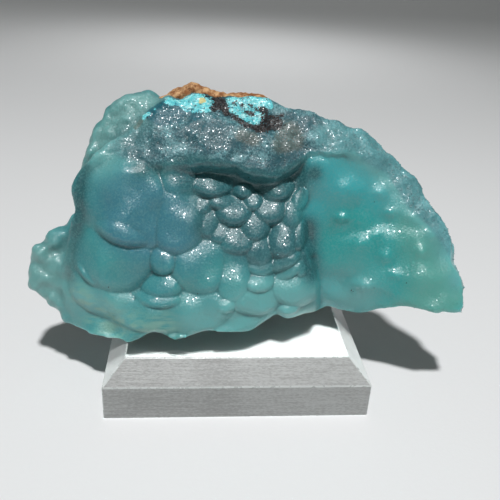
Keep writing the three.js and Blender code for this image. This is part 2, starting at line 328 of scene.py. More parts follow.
STONE_FRONT = SteppedFace(
    left=DepthMarks((
        (-40, 35, 3.5), (-36, 44, 2.6), (-30, 45, 1.4), (-30, 30, 1), (-40, 20, 3.5), (-30, 12, 2.2),
        (-40, 5, 4), (-22, 46, 1.5), (-22, 30, 1), (-22, 20, 1), (-12, 36, 2.2), (-12, 28, 1),
        (-5, 38, 3.2), (-5, 30, 2.4), (-5, 22, 1.1), (5, 38, 3.6), (5, 30, 2.8), (5, 20, 1.7),
        (10, 38, 3.8), (10, 28, 2.6), (12, 18, 1.8), (15.5, 37, 4.2), (14.5, 42, 4), (15.5, 28, 2.4),
        (16, 21, 1.8), (14, 8, 1.5), (0, 8, 0), (-15, 8, 0), (-15, 0, 0.5), (0, 2, 0.5),
    )),
    basin=DepthMarks((
        (20, 41, 1.1), (20, 34, 3.6), (20, 28, 5.5), (20, 20, 6.5), (21, 12, 8), (24, 6, 12),
        (28, 39, 1.9), (28, 27, 4.6), (28, 17, 5.5), (30, 8, 7.5), (36, 37, 3.5), (36, 28, 3),
        (36, 18, 2.5), (38, 9, 2.5), (44, 31, 2), (44, 22, 0), (44, 12, -1.5), (51, 24, 1),
        (51, 17, -1.5), (51, 9, -3),
    )),
    rim=DepthMarks((
        (-30, 48, 2.4), (-24, 50, 2.8), (-18, 46, 1), (-12, 46, -0.8), (-12, 41, 0),
        (-4, 45, -1.2), (-4, 41, -0.2), (4, 44, -1), (5, 38, 0.4), (9, 42, 0), (14, 46, 2.5),
        (20, 47, 0.2), (26, 47, 0.6), (32, 46, 1.5), (37, 42, 2), (42, 37, 1.5), (48, 30, 1),
        (55, 24, 1), (-12, 52, 2.5), (0, 51, 2.5), (11, 51, 3), (21, 52, 4), (-12, 59, 7),
        (0, 59, 7), (10, 57, 6.5), (31, 50, 5), (39, 45, 6), (46, 38, 5),
    )),
    basin_edge=Line(((3, 22), (13, 20.5), (21, 17.5), (26, 16.5), (32, 16), (41, 16))),
    rim_lip=Line((
        (-22, 41), (-18.5, 40), (-11, 40.2), (-5.5, 40.2), (-1, 39.8), (2, 38.4), (5, 37.6),
        (8, 37.6), (11.5, 39), (14, 41), (16.5, 44.4), (23.5, 44.6), (30, 44.3), (35, 41.5),
        (39, 38), (41.5, 34), (47, 28.5), (58, 24),
    )),
    lip_width=Line(((-24, 5), (-17, 2), (13, 2), (18, 1), (26, 1), (34, 6))),
)

# Height on the face above which the surface is sugary
GRAIN_START = Line((
    (-36, 46), (-33, 44.5), (-28.5, 42.5), (-21.5, 41), (-17, 42), (-14.5, 43.5), (-10, 43.5),
    (0, 41.5), (7, 40), (11, 41.5), (17, 45), (28.5, 45.5), (31, 43), (37.5, 40), (40, 36), (42, 32.5),
    (47, 28), (52, 22), (58, 12),
))

STONE_BACK = DepthMarks((
    (-40, 12, 14), (-40, 32, 13), (-30, 44, 12), (-22, 5, 26), (-22, 28, 20), (-20, 50, 14),
    (0, 5, 28), (0, 28, 21), (0, 50, 14), (20, 8, 25), (20, 28, 19), (22, 46, 14),
    (38, 12, 13), (40, 28, 11), (50, 12, 6), (50, 24, 6),
))

STONE_BODY = Pillow(STONE_OUTLINE, (0, 30), STONE_FRONT, STONE_BACK, 7, 1.2)

UPPER_LOBE = Pillow(
    outline=(
        (-42, 34, 14), (-40, 40.5, 14), (-38, 46, 14), (-37, 50, 14), (-36, 51.5, 14),
        (-34.5, 53, 14), (-34, 55, 14), (-32.5, 56.5, 14), (-30, 58.5, 14), (-27.5, 59.5, 14),
        (-22.5, 60.5, 14), (-20, 59, 13), (-17, 57, 12), (-16, 48, 12), (-24, 36, 12),
        (-34, 30, 13),
    ),
    centre=(-28, 46),
    front=DepthMarks(((-36, 44, 9.5), (-32, 52, 9), (-24, 56, 9.5), (-24, 44, 7))),
    back=DepthMarks(((-34, 42, 18), (-28, 54, 17), (-20, 48, 17))),
    subdivisions=6,
    roughness=1.5,
)

LOWER_LOBE = Pillow(
    outline=(
        (-42, 29, 12), (-43.5, 25.5, 12), (-45.5, 25.5, 12), (-47.5, 23.5, 12), (-49.5, 21.5, 12),
        (-52, 19.5, 12), (-52.5, 17, 12), (-52, 15.5, 12), (-52.5, 13.5, 12), (-53, 11, 12),
        (-50.5, 8, 11.5), (-47, 6, 11), (-44.5, 3, 10.5), (-41.5, 0, 10), (-38.5, -2.5, 9),
        (-35, -3.5, 9), (-30, -1, 10), (-30, 14, 12), (-34, 26, 12),
    ),
    centre=(-41, 12),
    front=DepthMarks(((-49, 18, 9.5), (-46, 10, 8.5), (-42, 22, 8), (-42, 4, 7), (-34, 12, 6))),
    back=DepthMarks(((-48, 14, 16), (-40, 20, 18), (-38, 5, 19), (-32, 12, 20))),
    subdivisions=6,
    roughness=1.5,
)

KNOBS = (
    Knob(-46, 22.5, 10.5, 2.4), Knob(-49.5, 18.8, 11, 2.6), Knob(-50.4, 14, 11, 2.4),
    Knob(-50.6, 11, 11, 2.2), Knob(-46, 7.5, 10, 2.4), Knob(-42.5, 3, 9.5, 2.2),
)

DOMES = (
    Dome(-27.3, 33.2, 8.9, 8.7, 1.3, 125, overhang=0.2, fullness=3.5, soft_top=0.45),
    Dome(-26, 29.3, 9.8, 8.4, 1.1, -8), Dome(-28.3, 24.8, 7, 3.4, 2.4, -18),
    Dome(-14.9, 27, 6.5, 7.5, 1.6),
    Dome(-30.5, 17.5, 8.8, 7.5, 1.8), Dome(-36.5, 14, 4, 1.5, 1.2, -48), Dome(-18.5, 17.5, 3, 3, 1.1),
    Dome(-18.5, 11.5, 4.5, 2.5, 1.1), Dome(-19, 8.5, 5, 2, 1.1), Dome(-9.5, 16.5, 6.5, 6.5, 1.2),
    Dome(-1.5, 14.5, 4, 6, 0.7), Dome(-3.5, 7, 2.5, 1.5, 0.6, 10), Dome(4.5, 8, 5, 3, 0.6),
    Dome(-34, 8.5, 7, 4, 0.8, -25), Dome(-21.5, 4, 9, 3, 0.5, -4), Dome(-10.5, 5.5, 7, 4.5, 0.6, 8),
    Dome(-15, 37, 3.5, 3, 0.3, -30), Dome(-7, 36, 4.5, 2.5, 1.1), Dome(-4.5, 32, 3, 1.5, 0.6),
    Dome(-9, 31, 1.5, 1.5, 0.5), Dome(1, 35, 2, 1.5, 0.6), Dome(3.5, 32.5, 2.2, 2, 0.7, 20),
    Dome(-1.5, 29.5, 4, 3, 1.1), Dome(-8, 26.5, 2.5, 3, 0.7), Dome(-5, 24.5, 2.5, 2, 0.5),
    Dome(7.5, 30, 3.5, 3, 1), Dome(4, 26, 3.5, 3, 1.1, 25), Dome(9.5, 35.5, 3.5, 2.5, 0.8, 20),
    Dome(15, 33, 1.5, 2.5, 0.4, -20), Dome(11, 23, 3.5, 4.5, 1.3, -20), Dome(-0.5, 22.5, 4, 3, 0.9),
    Dome(5, 20, 3, 3.5, 0.9), Dome(11.5, 18, 3.5, 1.8, 0.9, 32), Dome(13, 15.5, 3, 1.4, 0.7, 32),
    Dome(15.5, 15.5, 1.3, 1.3, 0.5), Dome(5, 12.5, 3.2, 2.2, 1), Dome(14.5, 10.5, 5.5, 4, 1.1),
    Dome(13, 6, 2.5, 1.5, 0.7, 10), Dome(15, 24, 1.8, 3, 0.7, -15), Dome(13, 29, 2, 3, 0.6, -15),
    Dome(5.5, 16.5, 3, 2, 0.7),
)

SWELLS = (
    Swell(26, 29, 2.2, 1.6, 1), Swell(31, 23, 3.4, 2.6, 1.3), Swell(34.5, 25, 2.2, 1.3, 0.6, 30),
    Swell(37, 19.5, 2, 2, 1), Swell(31.5, 12, 3, 2, 1.5), Swell(29, 9, 8, 5, 0.9),
    Swell(35.5, 35.5, 2, 1.8, 0.8), Swell(38, 30.5, 2, 1.6, 0.7), Swell(45.5, 21, 1.8, 1.8, 0.9),
    Swell(44, 29.5, 3.4, 2.2, 1.1, -25), Swell(48.5, 25.5, 3, 2, 1.1, -40),
    Swell(39.5, 15, 1.8, 1.4, 0.6), Swell(25, 36, 5, 5, 0.6),
    Swell(-46, 21, 2.2, 1.6, 0.9), Swell(-45.5, 17, 2, 1.6, 0.8),
    Swell(-49.5, 18, 1.8, 2.2, 0.8), Swell(-49, 12.5, 2, 2, 0.8), Swell(-45, 10.5, 2.5, 1.8, 0.8),
)

MATRIX_CRUST = Pillow(
    outline=(
        (-22, 55, 12), (-20.5, 58, 12), (-17.5, 60.5, 12), (-14.5, 61.5, 12), (-12, 62.5, 12.5),
        (-8.5, 61.5, 12.5), (-6, 60.5, 12.5), (-3, 60, 12.5), (3, 60.5, 12.5), (7, 60, 13),
        (9, 57, 13.5), (9, 54, 14), (7, 46, 16), (-1, 40, 17.5), (-11, 41, 17.5), (-19, 47, 15),
    ),
    centre=(-7, 52),
    front=DepthMarks(((-7, 52, 9),)),
    back=DepthMarks(((-17, 56, 16.5), (-8, 56, 18), (3, 55, 17), (-7, 47, 19.5))),
    subdivisions=6,
    roughness=2.0,
    lump_size=3.5,
)

# Places of colour on the face: x, w and reach
ZONE_MARKS: dict[Zone, tuple[tuple[float, float, float], ...]] = {
    Zone.BLUE: ((-22, 28, 6), (-15.5, 26, 6), (-27, 26, 4), (-28, 35, 4.5), (3, 22, 3)),
    # Slate tone on the recessed cluster and under the lip: partly the stone's own darker tone, partly
    # painted shade of the recess
    Zone.SLATE_AND_SHADE: (
        (-7, 32, 4), (0, 31, 4.5), (5, 26, 4.5), (9, 32, 4), (12, 22, 3.5), (8, 18, 3),
        (2, 24, 4), (-8, 26, 2.5), (-14, 39, 3), (-8, 41, 3), (-2, 40, 3), (4, 39, 3), (10, 39, 3),
    ),
    Zone.GREEN: ((46, 18, 7), (50, 11, 6), (45, 27, 5), (38, 10, 4), (53, 20, 5)),
    Zone.PALE: (
        (-10, 3, 4), (0, 3, 5), (5, 8, 4), (8, 6, 4), (14, 9, 4.5), (30, 9, 5.2), (-38, 8, 3),
        (-30, 5, 4), (28, 49, 4), (34, 45.5, 3.5), (38.5, 41.5, 3.5), (42.5, 37, 3.5), (46, 32, 3),
        (50, 27, 2.5), (53, 21, 2.5), (55, 14, 2), (21, 49, 3), (-33, 43, 4),
    ),
    Zone.MILKY: ((-49.5, 18, 5), (-48, 8, 5), (-34, 53, 6), (-24, 58, 4), (-38, 46, 3)),
    Zone.FIBROUS: ((-36, 5, 2.5), (-31, 2, 3), (-25, 1, 3), (-18, 2, 2.5), (-39, 9, 2)),
    Zone.SHADE: (
        (-38.6, 37, 1.4), (-38.8, 34, 1.4), (-38.8, 31, 1.5), (-39, 28, 1.5), (-40, 24.5, 1.6),
        (-41, 20.5, 1.6), (-41.4, 17, 1.4), (-41.6, 14, 1.2), (-37.5, 40, 1.4),
        (-5, 38.5, 2), (3, 37, 2), (8, 37, 2.5), (14.5, 37, 2.5), (13.5, 42.5, 2), (17.4, 27, 2),
        (17.5, 23, 2.2), (18, 19, 2.2), (18.6, 15, 2), (18.5, 40, 1.4), (-24, 40, 1.5),
        (-20, 40.5, 1.8), (-14, 42.5, 2), (-8, 42.5, 2), (-2, 41.5, 2), (4, 40.5, 2), (9, 41, 2),
    ),
    Zone.GLOW: ((28, 27, 5), (34, 22, 5), (25, 20, 4), (37, 14, 4), (36, 10, 3)),
    Zone.DEEP: (
        (-22, 53.5, 1), (-20, 54.5, 1.2), (-18, 55, 1.4), (-16, 55, 1.4), (-19.5, 52.5, 1.7),
        (-16, 53, 1.7), (-11, 53, 1.2),
    ),
    Zone.STAIN: (
        (0, 48.5, 1.6), (3, 47.5, 1.4), (9.5, 46.5, 2), (12, 50.5, 2.2), (13.5, 47.5, 1.7),
        (-25.6, 50.2, 0.6), (-24.8, 51.2, 0.6), (-24.1, 52.1, 0.6),
    ),
    Zone.CRUST: (
        (-18, 57, 1), (-16.5, 56.5, 1), (-13.5, 57, 1), (-12, 57, 1.4), (-10, 57.5, 1.4),
        (-8, 56.5, 1.4), (-10, 55.5, 1.4), (-12, 55.5, 1.2), (-8, 55.5, 1), (-14, 56, 1),
        (-23.5, 52.5, 0.8), (-22.5, 53.5, 0.5), (-21, 54.5, 0.4), (-2.5, 57.5, 1), (-0.5, 58, 1),
        (2, 58, 1), (4, 57.5, 1.2), (6, 57.5, 1.2), (7.5, 56.5, 0.8), (-2.5, 55.5, 1),
        (-1, 55, 1.1), (0.5, 53.5, 1.1), (2, 53, 1.1), (3.5, 52.5, 1.1), (5, 53, 1), (2, 56, 1),
        (3.5, 54.5, 1), (5.5, 54.5, 0.7),
    ),
    Zone.OCHRE: ((-9.5, 57.2, 0.7),),
    Zone.OXIDE: (
        (-8.5, 58.5, 0.6), (-6.5, 58, 0.7), (-5, 58, 0.7), (-4.5, 56.5, 1.1), (-6, 56, 0.9),
        (-4, 55.5, 0.7), (-7, 55, 0.6), (-3.5, 54, 0.8), (-1.5, 53, 0.8), (0, 52, 0.8),
        (1.5, 51, 0.8), (3.5, 50.5, 0.9), (5, 50, 0.8), (6, 51, 0.9), (7, 52.5, 1.1), (8.5, 53, 1.1),
        (9.5, 51.5, 1.1), (7.5, 51.5, 1), (5.5, 53, 0.7), (10.5, 54.5, 0.6), (4, 55.5, 0.6),
        (5.5, 55.5, 0.7), (1.5, 54.5, 0.7), (3, 54, 0.6), (2.5, 56.5, 0.6), (0.5, 56.5, 0.6),
        (-1.5, 57, 0.6), (6, 55, 0.7), (-23, 52.5, 0.4),
    ),
}

# Dark specks that lie singly on the smooth growths: x and w
SPECKS = (
    (40, 19.5), (42, 13), (34.5, 11.5), (29.5, 10.5), (30, 10), (16.5, 40), (2, 38.5),
    (-31.5, 11.5), (-10, 10), (-26, 29), (34, 33), (27, 19.5), (-34.5, 4.5), (27, 45.5),
    (15.5, 44.5),
)


class Shader:
    """Lays out the nodes of one material in a few calls."""

    def __init__(self, name: str) -> None:
        """Starts an empty material.

        Args:
            name: The material's name.
        """
        self.material = bpy.data.materials.new(name)
        self.material.use_nodes = True
        self.tree = self.material.node_tree
        self.tree.nodes.clear()

    def node(self, kind: str, inputs: dict[str | int, object] | None = None,
             **settings: object) -> bpy.types.Node:
        """Adds a node.

        Args:
            kind: The node's type, without the words ShaderNode.
            inputs: Values or sockets for its inputs, by name or number.
            settings: Properties of the node.

        Returns:
            The new node.
        """
        made = self.tree.nodes.new("ShaderNode" + kind)
        for key, value in settings.items():
            setattr(made, key, value)
        for key, value in (inputs or {}).items():
            if isinstance(value, bpy.types.NodeSocket):
                self.tree.links.new(value, made.inputs[key])
            else:
                made.inputs[key].default_value = value
        return made

    def place(self) -> bpy.types.NodeSocket:
        """Gives the Object coordinates."""
        return self.node("TexCoord").outputs["Object"]

    def stretched(self, x: float, y: float, z: float) -> bpy.types.NodeSocket:
        """Gives the Object coordinates, scaled along each axis."""
        return self.node("Mapping", {"Vector": self.place(), "Scale": (x, y, z)}).outputs[0]

    def zone(self, zone: Zone) -> bpy.types.NodeSocket:
        """Reads one of the stone's fields."""
        return self.node("Attribute", attribute_name=zone.value).outputs["Fac"]

    def grain(self, size: float, detail: float = 2.0, roughness: float = 0.5,
              place: object = None) -> bpy.types.NodeSocket:
        """Makes cloudy noise.

        Args:
            size: The width of a cloud in metres.
            detail: How many finer layers it has.
            roughness: How strong the finer layers are.
            place: Coordinates to read instead of the plain Object coordinates.

        Returns:
            The noise, around 0.5.
        """
        values = {"Vector": place or self.place(), "Scale": 1.0 / size, "Detail": detail}
        return self.node("TexNoise", {**values, "Roughness": roughness}).outputs["Fac"]

    def cells(self, size: float) -> bpy.types.NodeSocket:
        """Gives each cell of a pattern a random colour; size is a cell's width in metres."""
        return self.node("TexVoronoi", {"Vector": self.place(), "Scale": 1.0 / size}).outputs["Color"]

    def math(self, operation: str, *values: object) -> bpy.types.NodeSocket:
        """Combines numbers or number sockets."""
        return self.node("Math", dict(enumerate(values)), operation=operation).outputs[0]

    def ramp(self, value: object, low: float, high: float, to_low: float = 0.0,
             to_high: float = 1.0) -> bpy.types.NodeSocket:
        """Eases a value from one range into another.

        Args:
            value: The socket to read.
            low: The value that gives to_low.
            high: The value that gives to_high.
            to_low: The result at the low end.
            to_high: The result at the high end.

        Returns:
            The eased value.
        """
        values = {"Value": value, "From Min": low, "From Max": high}
        values |= {"To Min": to_low, "To Max": to_high}
        return self.node("MapRange", values, interpolation_type="SMOOTHSTEP").outputs["Result"]

    def broken(self, zone: Zone, size: float, low: float, high: float, most: float = 1.0,
               weight: float = 1.0) -> bpy.types.NodeSocket:
        """Breaks a zone's edge up with fine noise.

        Args:
            zone: The field to read.
            size: The width of the noise in metres.
            low: The sum of field and noise at which the zone starts.
            high: The sum at which it is full.
            most: The result where it is full.
            weight: The field's share in the sum.

        Returns:
            The broken field.
        """
        field_part = self.math("MULTIPLY", self.zone(zone), weight)
        total = self.math("ADD", field_part, self.grain(size, 3.0, 0.7))
        return self.ramp(total, low, high, 0.0, most)

    def mix(self, share: object, low: object, high: object) -> bpy.types.NodeSocket:
        """Blends two colours; a share of 0 is all low and 1 is all high."""
        values = {"Factor": share, 6: low, 7: high}
        return self.node("Mix", values, data_type="RGBA").outputs[2]

    def bump(self, height: object, distance: float, strength: float = 1.0,
             normal: object = None) -> bpy.types.NodeSocket:
        """Turns a height into a bumped normal; distance is the relief in metres."""
        values = {"Height": height, "Distance": distance, "Strength": strength}
        if normal is not None:
            values["Normal"] = normal
        return self.node("Bump", values).outputs["Normal"]

    def tilted_facets(self, size: float, tilt: object) -> bpy.types.NodeSocket:
        """Turns the normal a little in each cell, as fine crystal faces do.

        Args:
            size: The width of a crystal face in metres.
            tilt: How far a face may turn, as a share of the normal's length.

        Returns:
            The turned normal.
        """
        random = self.cells(size)
        centred = self.node("VectorMath", {0: random, 1: (0.5, 0.5, 0.5)}, operation="SUBTRACT")
        turned = self.node("VectorMath", {0: centred.outputs[0], "Scale": tilt}, operation="SCALE")
        normal = self.node("NewGeometry").outputs["Normal"]
        total = self.node("VectorMath", {0: normal, 1: turned.outputs[0]}, operation="ADD")
        return self.node("VectorMath", {0: total.outputs[0]}, operation="NORMALIZE").outputs[0]

    def finish(self, **inputs: object) -> bpy.types.Material:
        """Ends the material in one principled surface.

        Args:
            inputs: Its inputs, with underscores for the spaces in their names.

        Returns:
            The material.
        """
        values = {key.replace("_", " "): value for key, value in inputs.items()}
        surface = self.node("BsdfPrincipled", values)
        self.node("OutputMaterial", {"Surface": surface.outputs["BSDF"]})
        return self.material


@dataclass(frozen=True)
class SmithsoniteFinish:
    """Waxy translucent blue-green carbonate with fine drusy sparkle and a cyan crust."""

    body: Colour = linear(66, 154, 154)
    cloud: Colour = linear(58, 140, 146)
    blue: Colour = linear(60, 128, 144)
    # Partly own darker slate tone, partly painted shade in the recess under the rim
    slate: Colour = linear(44, 104, 112)
    basin: Colour = linear(58, 168, 174)
    green: Colour = linear(90, 164, 154)
    pale: Colour = linear(104, 174, 174)
    milky: Colour = linear(112, 164, 162)
    glow: Colour = linear(36, 160, 158)
    fibre: Colour = linear(128, 176, 164)
    shade: Colour = linear(32, 94, 100)
    # Painted shade laid into the creases
    hollow: Colour = linear(24, 98, 104)
    rim: Colour = linear(36, 92, 102)
    frost: Colour = linear(120, 170, 176)
    pale_rim: Colour = linear(104, 170, 174)
    deep: Colour = linear(10, 96, 110)
    stain: Colour = linear(104, 104, 88)
    deep_crust: Colour = linear(40, 150, 172)
    crust: Colour = linear(104, 210, 216)
    bright_crust: Colour = linear(190, 244, 244)
    ochre: Colour = linear(206, 200, 140)
    oxide: Colour = linear(34, 32, 34)
    scatter_depth: float = 0.004

    def colour(self, sheet: Shader) -> bpy.types.NodeSocket:
        """Lays the zones' colours over each other.

        Args:
            sheet: The material under way.

        Returns:
            The surface colour.
        """
        colour = sheet.mix(sheet.ramp(sheet.grain(0.012, 3.0), 0.35, 0.65), self.body, self.cloud)
        # The slate zone is partly painted shade; the shade zone is painted shade
        soft = ((Zone.BLUE, self.blue), (Zone.SLATE_AND_SHADE, self.slate), (Zone.BASIN, self.basin),
                (Zone.GREEN, self.green), (Zone.GLOW, self.glow), (Zone.PALE, self.pale),
                (Zone.SHADE, self.shade))
        for zone, tone in soft:
            colour = sheet.mix(sheet.zone(zone), colour, tone)
        fibres = sheet.grain(0.0016, 3.0, 0.6, sheet.stretched(0.2, 1.0, 1.0))
        veined = sheet.math("MULTIPLY", sheet.zone(Zone.FIBROUS), sheet.ramp(fibres, 0.4, 0.62))
        colour = sheet.mix(veined, colour, self.fibre)
        # Painted shade: darkens the creases, by how far the skin lies under its neighbourhood
        colour = sheet.mix(sheet.ramp(sheet.zone(Zone.CREASE_SHADE), 0.0, 1.0, 0.0, 0.6), colour, self.hollow)
        specks = sheet.ramp(sheet.grain(0.0005, 2.0, 0.7), 0.4, 0.7, 0.0, 0.36)
        colour = sheet.mix(specks, colour, self.milky)
        clouds = sheet.math("ADD", sheet.grain(0.005, 2.0), sheet.grain(0.0005, 3.0, 0.75))
        sugar = sheet.ramp(clouds, 0.94, 1.3)
        rim = sheet.mix(sugar, self.rim, self.frost)
        rim = sheet.mix(sheet.ramp(sheet.zone(Zone.PALE), 0.2, 1.0, 0.0, 0.6), rim, self.pale_rim)
        colour = sheet.mix(sheet.zone(Zone.RIM), colour, rim)
        colour = sheet.mix(sheet.zone(Zone.MILKY), colour, self.milky)
        colour = sheet.mix(sheet.broken(Zone.DEEP, 0.002, 0.8, 1.3), colour, self.deep)
        colour = sheet.mix(sheet.broken(Zone.STAIN, 0.0009, 0.8, 1.4, 0.5), colour, self.stain)
        curds = sheet.grain(0.0012, 4.0, 0.75)
        crusted = sheet.mix(sheet.ramp(curds, 0.34, 0.48), self.deep_crust, self.crust)
        crusted = sheet.mix(sheet.ramp(curds, 0.5, 0.64), crusted, self.bright_crust)
        colour = sheet.mix(sheet.broken(Zone.CRUST, 0.0008, 0.84, 0.98, weight=0.5), colour, crusted)
        colour = sheet.mix(sheet.broken(Zone.OCHRE, 0.0014, 0.9, 1.1), colour, self.ochre)
        return sheet.mix(sheet.broken(Zone.OXIDE, 0.0005, 0.92, 0.98, weight=0.55), colour, self.oxide)

    def material(self) -> bpy.types.Material:
        """Builds the stone's material."""
        sheet = Shader("smithsonite")
        tilt = sheet.ramp(sheet.zone(Zone.RIM), 0.0, 1.0, 0.2, 0.36)
        facets = sheet.tilted_facets(0.00024, tilt)
        wavy = sheet.bump(sheet.grain(0.0005, 3.0, 0.7), 0.00014, 0.9, facets)
        rough = sheet.ramp(sheet.zone(Zone.RIM), 0.0, 1.0, 0.36, 0.5)
        sparkle = sheet.tilted_facets(0.00024, 0.42)
        return sheet.finish(
            Base_Color=self.colour(sheet), Normal=wavy, Roughness=rough, IOR=1.62,
            Specular_IOR_Level=0.5, Subsurface_Weight=0.8, Subsurface_Scale=self.scatter_depth,
            Subsurface_Radius=(0.6, 1.0, 1.0),
            Coat_Weight=0.35, Coat_Roughness=0.14, Coat_IOR=1.5, Coat_Normal=sparkle,
        )


@dataclass(frozen=True)
class DruseFinish:
    """Small clear-edged crystals of the same carbonate."""

    tone: Colour = linear(88, 140, 148)
    light: Colour = linear(150, 196, 200)

    def material(self) -> bpy.types.Material:
        """Builds the crystals' material."""
        sheet = Shader("druse")
        colour = sheet.mix(sheet.ramp(sheet.grain(0.0016, 3.0, 0.7), 0.42, 0.68), self.tone, self.light)
        faces = sheet.bump(sheet.grain(0.0004, 2.0), 0.00003)
        return sheet.finish(
            Base_Color=colour, Normal=faces, Roughness=0.22, IOR=1.62, Subsurface_Weight=1.0,
            Subsurface_Scale=0.002, Subsurface_Radius=(0.7, 1.0, 1.0))


@dataclass(frozen=True)
class OxideFinish:
    """Black manganese oxide grains with a brown cast."""

    tone: Colour = linear(26, 24, 26)
    brown: Colour = linear(48, 40, 36)

    def material(self) -> bpy.types.Material:
        """Builds the grains' material."""
        sheet = Shader("manganese_oxide")
        colour = sheet.mix(sheet.ramp(sheet.grain(0.003, 2.0), 0.5, 0.7), self.tone, self.brown)
        rough = sheet.bump(sheet.grain(0.0003, 3.0, 0.7), 0.0001)
        return sheet.finish(Base_Color=colour, Normal=rough, Roughness=0.6)


@dataclass(frozen=True)
class LimoniteFinish:
    """Dull porous ochre-brown iron oxide."""

    light: Colour = linear(222, 180, 132)
    dark: Colour = linear(140, 88, 48)
    pit: Colour = linear(84, 52, 30)

    def material(self) -> bpy.types.Material:
        """Builds the matrix's material."""
        sheet = Shader("limonite")
        patches = sheet.ramp(sheet.grain(0.0022, 5.0, 0.7), 0.38, 0.66)
        colour = sheet.mix(patches, self.dark, self.light)
        pits = sheet.ramp(sheet.grain(0.0009, 2.0), 0.6, 0.72)
        colour = sheet.mix(pits, colour, self.pit)
        rough = sheet.bump(sheet.grain(0.0006, 4.0, 0.7), 0.0003)
        return sheet.finish(Base_Color=colour, Normal=rough, Roughness=0.9)


@dataclass(frozen=True)
class PolishedAcrylicFinish:
    """Clear cast acrylic, polished, with hairline marks from handling."""

    def material(self) -> bpy.types.Material:
        """Builds the clear material."""
        sheet = Shader("polished_acrylic")
        marks = sheet.ramp(sheet.grain(0.004, 6.0, 0.7), 0.45, 0.8, 0.012, 0.05)
        return sheet.finish(
            Base_Color=linear(224, 229, 227), Roughness=marks, IOR=1.49, Transmission_Weight=1.0)


@dataclass(frozen=True)
class BrokenEdgeFinish:
    """The narrow scraped edges of the block, which catch the light."""

    def material(self) -> bpy.types.Material:
        """Builds the edges' material."""
        sheet = Shader("scraped_acrylic")
        scrape = sheet.ramp(sheet.grain(0.0015, 3.0), 0.4, 0.7, 0.25, 0.45)
        return sheet.finish(
            Base_Color=linear(222, 226, 225), Roughness=scrape, IOR=1.49, Transmission_Weight=0.3)


@dataclass(frozen=True)
class SawnAcrylicFinish:
    """Acrylic left from the saw: satin grey, with fine lines along the cut."""

    tone: Colour = linear(196, 198, 197)
    line: Colour = linear(160, 161, 160)

    def material(self) -> bpy.types.Material:
        """Builds the sawn material, whose lines run along X."""
        sheet = Shader("sawn_acrylic")
        lines = sheet.grain(0.00034, 4.0, 0.7, sheet.stretched(0.04, 1.0, 1.0))
        speckle = sheet.grain(0.00034, 2.0, 0.6, sheet.stretched(0.4, 1.0, 1.0))
        both = sheet.math("MULTIPLY", sheet.math("ADD", lines, speckle), 0.5)
        cloudy = sheet.math("ADD", both, sheet.ramp(sheet.grain(0.016), 0.3, 0.7, -0.05, 0.05))
        colour = sheet.mix(sheet.ramp(cloudy, 0.36, 0.64), self.line, self.tone)
        return sheet.finish(
            Base_Color=colour, Normal=sheet.bump(both, 0.00008), Roughness=0.42, IOR=1.49,
            Transmission_Weight=0.3)


@dataclass(frozen=True)
class HonedAcrylicFinish:
    """Acrylic honed to a pale translucent grey, as on the end bevels."""

    tone: Colour = linear(206, 210, 209)

    def material(self) -> bpy.types.Material:
        """Builds the honed material."""
        sheet = Shader("honed_acrylic")
        cloudy = sheet.ramp(sheet.grain(0.006, 4.0, 0.6), 0.35, 0.7, 0.3, 0.45)
        return sheet.finish(
            Base_Color=self.tone, Roughness=cloudy, IOR=1.49, Transmission_Weight=0.5)


@dataclass(frozen=True)
class PaperFinish:
    """Plain pale sheet under and behind the object."""

    tone: Colour = linear(229, 230, 231)

    def material(self) -> bpy.types.Material:
        """Builds the sheet's material."""
        sheet = Shader("pale_sheet")
        fibre = sheet.bump(sheet.grain(0.0011, 3.0), 0.00004)
        return sheet.finish(Base_Color=self.tone, Normal=fibre, Roughness=0.75)


def shaded_object(name: str, mesh: bpy.types.Mesh, smooth: bool = True) -> bpy.types.Object:
    """Links a mesh as an object at the origin.

    Args:
        name: The piece's name.
        mesh: Its mesh, already in place.
        smooth: Whether its faces are shaded smooth.

    Returns:
        The new object.
    """
    piece = bpy.data.objects.new(name, mesh)
    bpy.context.scene.collection.objects.link(piece)
    mesh.polygons.foreach_set("use_smooth", [smooth] * len(mesh.polygons))
    return piece


def finished_piece(name: str, mesh: bpy.types.Mesh, replaced: str | None,
                   materials: tuple[bpy.types.Material, ...], smooth: bool = True) -> bpy.types.Object:
    """Links, dresses and declares one visible piece.

    Args:
        name: The piece's name.
        mesh: Its mesh in metres, in the part's frame.
        replaced: The node that the piece stands for, if any.
        materials: Its materials in slot order.
        smooth: Whether its faces are shaded smooth.

    Returns:
        The finished piece.
    """
    piece = shaded_object(name, mesh, smooth)
    for material in materials:
        mesh.materials.append(material)
    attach(piece, "root")
    if replaced:
        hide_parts(replaced)
    return piece


def evaluated_mesh(piece: bpy.types.Object) -> bpy.types.Mesh:
    """Applies a helper object's modifiers and removes the helper.

    Args:
        piece: An object that carries modifiers.

    Returns:
        The resulting mesh.
    """
    graph = bpy.context.evaluated_depsgraph_get()
    mesh = bpy.data.meshes.new_from_object(piece.evaluated_get(graph))
    bpy.data.objects.remove(piece)
    return mesh


def vertex_places(mesh: bpy.types.Mesh) -> np.ndarray:
    """Reads a mesh's vertices as rows of x, y and z."""
    flat = np.empty(len(mesh.vertices) * 3)
    mesh.vertices.foreach_get("co", flat)
    return flat.reshape(-1, 3)


def vertex_normals(mesh: bpy.types.Mesh) -> np.ndarray:
    """Reads a mesh's vertex normals as rows."""
    flat = np.empty(len(mesh.vertices) * 3, dtype=np.float32)
    mesh.vertex_normals.foreach_get("vector", flat)
    return flat.reshape(-1, 3).astype(float)


def move_vertices(mesh: bpy.types.Mesh, places: np.ndarray) -> None:
    """Puts a mesh's vertices at new places."""
    mesh.vertices.foreach_set("co", places.ravel())
    mesh.update()


def noise_at(places: np.ndarray, size: float) -> np.ndarray:
    """Reads smooth noise of a given size at each place, around 0."""
    return np.array([noise.noise(Vector(place) / size) for place in places])


